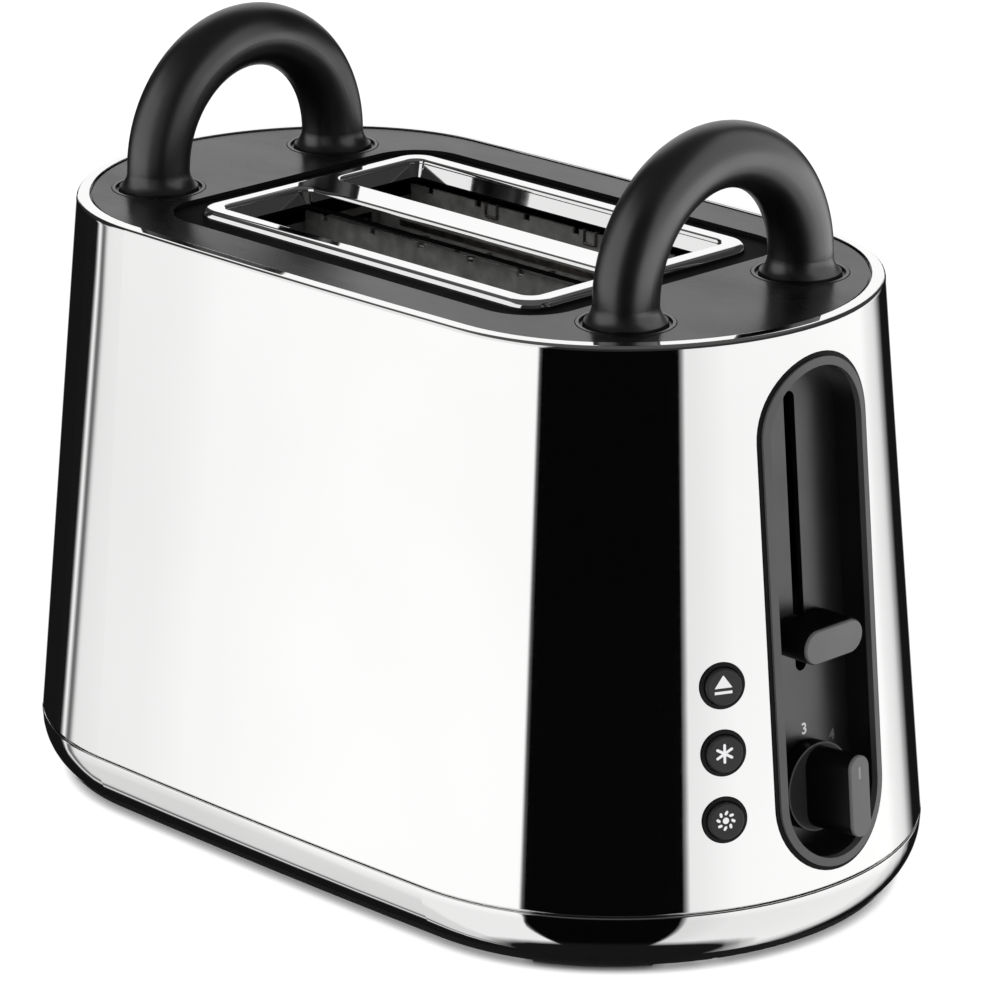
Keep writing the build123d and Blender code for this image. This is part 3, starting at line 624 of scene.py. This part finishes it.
def print_digit(number):
    """A printed number on the back of the recess, upright, at its place clockwise from the top."""
    curve = bpy.data.curves.new("dial_digit_curve", "FONT")
    curve.body = str(number)
    curve.size = DIGIT_SIZE * MM
    curve.offset = DIGIT_WEIGHT * MM
    curve.extrude = DIGIT_LIFT * MM
    curve.align_x = "CENTER"
    curve.align_y = "CENTER"
    maker = bpy.data.objects.new("dial_digit_maker", curve)
    mesh = bpy.data.meshes.new_from_object(maker)
    bpy.data.objects.remove(maker)
    name = f"dial_digit_{number}"
    mesh.name = name
    turn = math.radians(DIAL_STEP * (number - DIAL_TOP_NUMBER))
    place = Vector((DIGIT_RADIUS * math.sin(turn), DIGIT_RADIUS * math.cos(turn), DIGIT_LIFT)) * MM
    mesh.transform(recess_frame() @ Matrix.Translation(place))
    # The top number is printed white; the others are grey as painted shade, dimmed as if lying in the
    # recess's shadow
    slot = "white_plastic" if number == DIAL_TOP_NUMBER else "grey_plastic"
    mesh.materials.clear()
    mesh.materials.append(SHADERS[slot].material)
    add_piece(name, mesh, "housing")


# Stage

FLOOR_HALF = 30.0
# Reflectance of the floor in the light that it throws back, and as the camera sees it
FLOOR_WHITE = 0.8
FLOOR_SEEN = 0.12
# Contact shadow: its reach in metres, and the openness of the floor between which it fades
SHADOW_REACH = 0.0038
SHADOW_RANGE = (0.12, 0.88)
FLOOR_GLOW = 0.96


def add_floor():
    """White floor that keeps the shadow close under the base. Metal sees the studio instead of it."""
    mesh = bpy.data.meshes.new("studio_floor")
    corners = [(sx * FLOOR_HALF, sy * FLOOR_HALF, 0) for sx, sy in ((-1, -1), (1, -1), (1, 1), (-1, 1))]
    mesh.from_pydata(corners, [], [(0, 1, 2, 3)])
    floor = add_object("studio_floor", mesh)
    floor.visible_glossy = False
    material = bpy.data.materials.new("studio_floor")
    tree = empty_tree(material)
    camera_ray = add_node(tree, "ShaderNodeLightPath").outputs["Is Camera Ray"]
    diffuse = add_node(tree, "ShaderNodeBsdfDiffuse")
    feed(tree, diffuse.inputs["Color"], map_range(tree, camera_ray, 0, 1, FLOOR_WHITE, FLOOR_SEEN))
    contact = add_node(tree, "ShaderNodeAmbientOcclusion", samples=8)
    contact.inputs["Distance"].default_value = SHADOW_REACH
    shade = map_range(tree, contact.outputs["AO"], *SHADOW_RANGE, 0.0, FLOOR_GLOW)
    glow = add_node(tree, "ShaderNodeEmission")
    feed(tree, glow.inputs["Strength"], arithmetic(tree, "MULTIPLY", camera_ray, shade))
    add = add_node(tree, "ShaderNodeAddShader")
    feed(tree, add.inputs[0], diffuse.outputs[0])
    feed(tree, add.inputs[1], glow.outputs[0])
    feed(tree, add_node(tree, "ShaderNodeOutputMaterial").inputs["Surface"], add.outputs[0])
    mesh.materials.append(material)


# How bright the studio looks to metal and gloss, by bearing in degrees, below and above the horizon
LOW_STUDIO = [
    (-180, 0.009), (-169.4, 0.009), (-168.0, 0.35), (-166.6, 0.95), (-165.4, 0.95), (-164.2, 0.40),
    (-162.5, 0.05), (-160.4, 0.28), (-158.4, 0.70), (-157.0, 0.82), (-141, 0.86), (-138.7, 0.91),
    (-138.0, 0.985), (-133.5, 1.03), (-83.0, 1.02), (-81.4, 0.0018), (-18.9, 0.0018), (-17.1, 0.84),
    (-12, 0.86), (2, 0.97), (78, 1.04), (83, 0.92), (90, 0.81), (94, 0.67), (96, 0.47), (100, 0.18),
    (103, 0.008), (122, 0.008), (126, 0.95), (146, 0.95), (150, 0.008), (180, 0.008),
]
HIGH_STUDIO = [
    (-180, 0.02), (-158, 0.02), (-152, 0.85), (-83, 0.85), (-78, 0.02), (76, 0.04), (108, 0.04), (115, 1.0),
    (157, 1.0), (164, 0.02), (180, 0.02),
]
STUDIO_PEAK = 1.05
# The boards beyond the first bearing lean: between the two heights their edges shift by degrees of bearing
LEAN_BEARINGS = (-148, -153)
LEAN_HEIGHTS = (-18.5, -11.5)
LEAN_SHIFTS = (-6.1, 3.4)
# Heights in degrees between which one zone passes into the next, from straight below to straight above
UNDERSIDE = (-70, -62)
LOW_DIMMED = (-28, -22)
HORIZON = (1, 4)
CEILING = (40, 45)
UNDERSIDE_LEVEL = 0.008
LOW_DIMMING = 0.84
CEILING_LEVEL = 0.08


def add_world():
    """White studio. Metal and gloss see soft boxes and dark boards in it, at fixed bearings."""
    world = bpy.data.worlds.new("studio")
    bpy.context.scene.world = world
    tree = empty_tree(world)
    world.cycles.sampling_method = "NONE"

    direction = add_node(tree, "ShaderNodeSeparateXYZ")
    feed(tree, direction.inputs[0], add_node(tree, "ShaderNodeTexCoord").outputs["Generated"])
    x, y, z = direction.outputs
    bearing = arithmetic(tree, "MULTIPLY", arithmetic(tree, "ARCTAN2", y, x), 180 / math.pi)
    height = arithmetic(tree, "MULTIPLY", arithmetic(tree, "ARCSINE", z), 180 / math.pi)
    lean = map_range(tree, height, *LEAN_HEIGHTS, *LEAN_SHIFTS)
    leaning = map_range(tree, bearing, *LEAN_BEARINGS)
    bearing = arithmetic(tree, "SUBTRACT", bearing, arithmetic(tree, "MULTIPLY", lean, leaning))
    place = arithmetic(tree, "DIVIDE", arithmetic(tree, "ADD", bearing, 180), 360)

    def studio(stops):
        """Colours of the studio all round, at one level."""
        places = [((degrees + 180) / 360, grey(level / STUDIO_PEAK)) for degrees, level in stops]
        return colour_ramp(tree, place, places)

    def blend(below, above, heights):
        """One look below the first height and another above the second."""
        return mix_colours(tree, map_range(tree, height, *heights), below, above)

    low = studio(LOW_STUDIO)
    dimmed = mix_colours(tree, 1, low, (*grey(LOW_DIMMING), 1), "MULTIPLY")
    low = blend(dimmed, low, LOW_DIMMED)
    low = blend((*grey(UNDERSIDE_LEVEL), 1), low, UNDERSIDE)
    seen = blend(low, studio(HIGH_STUDIO), HORIZON)
    seen = blend(seen, (*grey(CEILING_LEVEL / STUDIO_PEAK), 1), CEILING)

    reflected = add_node(tree, "ShaderNodeBackground")
    feed(tree, reflected.inputs["Strength"], STUDIO_PEAK)
    feed(tree, reflected.inputs["Color"], seen)
    plain = add_node(tree, "ShaderNodeBackground")
    feed(tree, plain.inputs["Color"], (1, 1, 1, 1))
    mix = add_node(tree, "ShaderNodeMixShader")
    feed(tree, mix.inputs["Fac"], add_node(tree, "ShaderNodeLightPath").outputs["Is Glossy Ray"])
    feed(tree, mix.inputs[1], plain.outputs[0])
    feed(tree, mix.inputs[2], reflected.outputs[0])
    feed(tree, add_node(tree, "ShaderNodeOutputWorld").inputs["Surface"], mix.outputs[0])


# Lamps, in metres and watts
KEY_PLACE = (-0.6, -1.3, 1.5)
KEY_TARGET = (0, 0, 0.15)
KEY_SIZE = 1.0
KEY_POWER = 4
PANEL_BOTTOM = 0.15
PANEL_TOP = 0.55


def add_area_light(name, width, height, power):
    data = bpy.data.lights.new(name, "AREA")
    data.shape = "RECTANGLE"
    data.size, data.size_y = width, height
    data.energy = power
    light = add_object(name, data)
    light.visible_camera = False
    return light


def add_key():
    key = add_area_light("key", KEY_SIZE, KEY_SIZE, KEY_POWER)
    key.location = KEY_PLACE
    key.rotation_euler = (Vector(KEY_TARGET) - Vector(KEY_PLACE)).to_track_quat("-Z", "Y").to_euler()
    key.visible_glossy = False


def add_panel(name, start, end, power, lit):
    """Upright soft panel between two spots on the floor plan, for the gloss of a few pieces only."""
    a, b = Vector((*start, 0)), Vector((*end, 0))
    middle = (a + b) / 2 + Vector((0, 0, (PANEL_BOTTOM + PANEL_TOP) / 2))
    run = (b - a).normalized()
    out = Vector((run.y, -run.x, 0))
    if out.dot(middle) > 0:
        out = -out
    up = Vector((0, 0, 1))
    back = -out
    matrix = Matrix((up.cross(back), up, back)).transposed().to_4x4()
    matrix.translation = middle
    panel = add_area_light(name, (b - a).length, PANEL_TOP - PANEL_BOTTOM, power)
    panel.matrix_world = matrix
    panel.visible_diffuse = False
    panel.light_linking.receiver_collection = lit


def add_panels():
    lit = bpy.data.collections.new("handles")
    for name in ("control_end_handle", "far_end_handle", "handle_collars"):
        lit.objects.link(nodes[name])
    add_panel("right_panel", (0.110, 0.220), (0.600, -0.140), 0.70, lit)
    add_panel("left_panel", (0.139, -0.280), (-0.600, -0.200), 0.26, lit)


# Camera solved from the photograph: angles in degrees, places in metres, the rest in its pixels
AZIMUTH = 45.772
ELEVATION = 18.880
TARGET = (-0.00008, 0, 0.10283)
DISTANCE = 1.81705
PHOTO_SIZE = 984
FOCAL_LENGTH = 5440.34
OPTICAL_CENTRE = (470.77, 519.40)
SENSOR_WIDTH_MM = 36


def add_camera():
    azimuth, elevation = math.radians(AZIMUTH), math.radians(ELEVATION)
    flat = math.cos(elevation)
    back = Vector((math.sin(azimuth) * flat, -math.cos(azimuth) * flat, math.sin(elevation)))
    right = Vector((math.cos(azimuth), math.sin(azimuth), 0))
    up = back.cross(right)
    data = bpy.data.cameras.new("camera")
    data.sensor_width = SENSOR_WIDTH_MM
    data.lens = FOCAL_LENGTH * SENSOR_WIDTH_MM / PHOTO_SIZE
    data.shift_x = (PHOTO_SIZE / 2 - OPTICAL_CENTRE[0]) / PHOTO_SIZE
    data.shift_y = (OPTICAL_CENTRE[1] - PHOTO_SIZE / 2) / PHOTO_SIZE
    data.clip_start, data.clip_end = 0.05, 100
    camera = add_object("camera", data)
    matrix = Matrix((right, up, back)).transposed().to_4x4()
    matrix.translation = Vector(TARGET) + back * DISTANCE
    camera.matrix_world = matrix
    bpy.context.scene.camera = camera


dress_shell()
dress_spring()
print_symbols()
print_pointer()
for number in DIAL_NUMBERS:
    print_digit(number)
add_floor()
add_world()
add_key()
add_panels()
add_camera()
bpy.context.scene.view_settings.view_transform = "Standard"
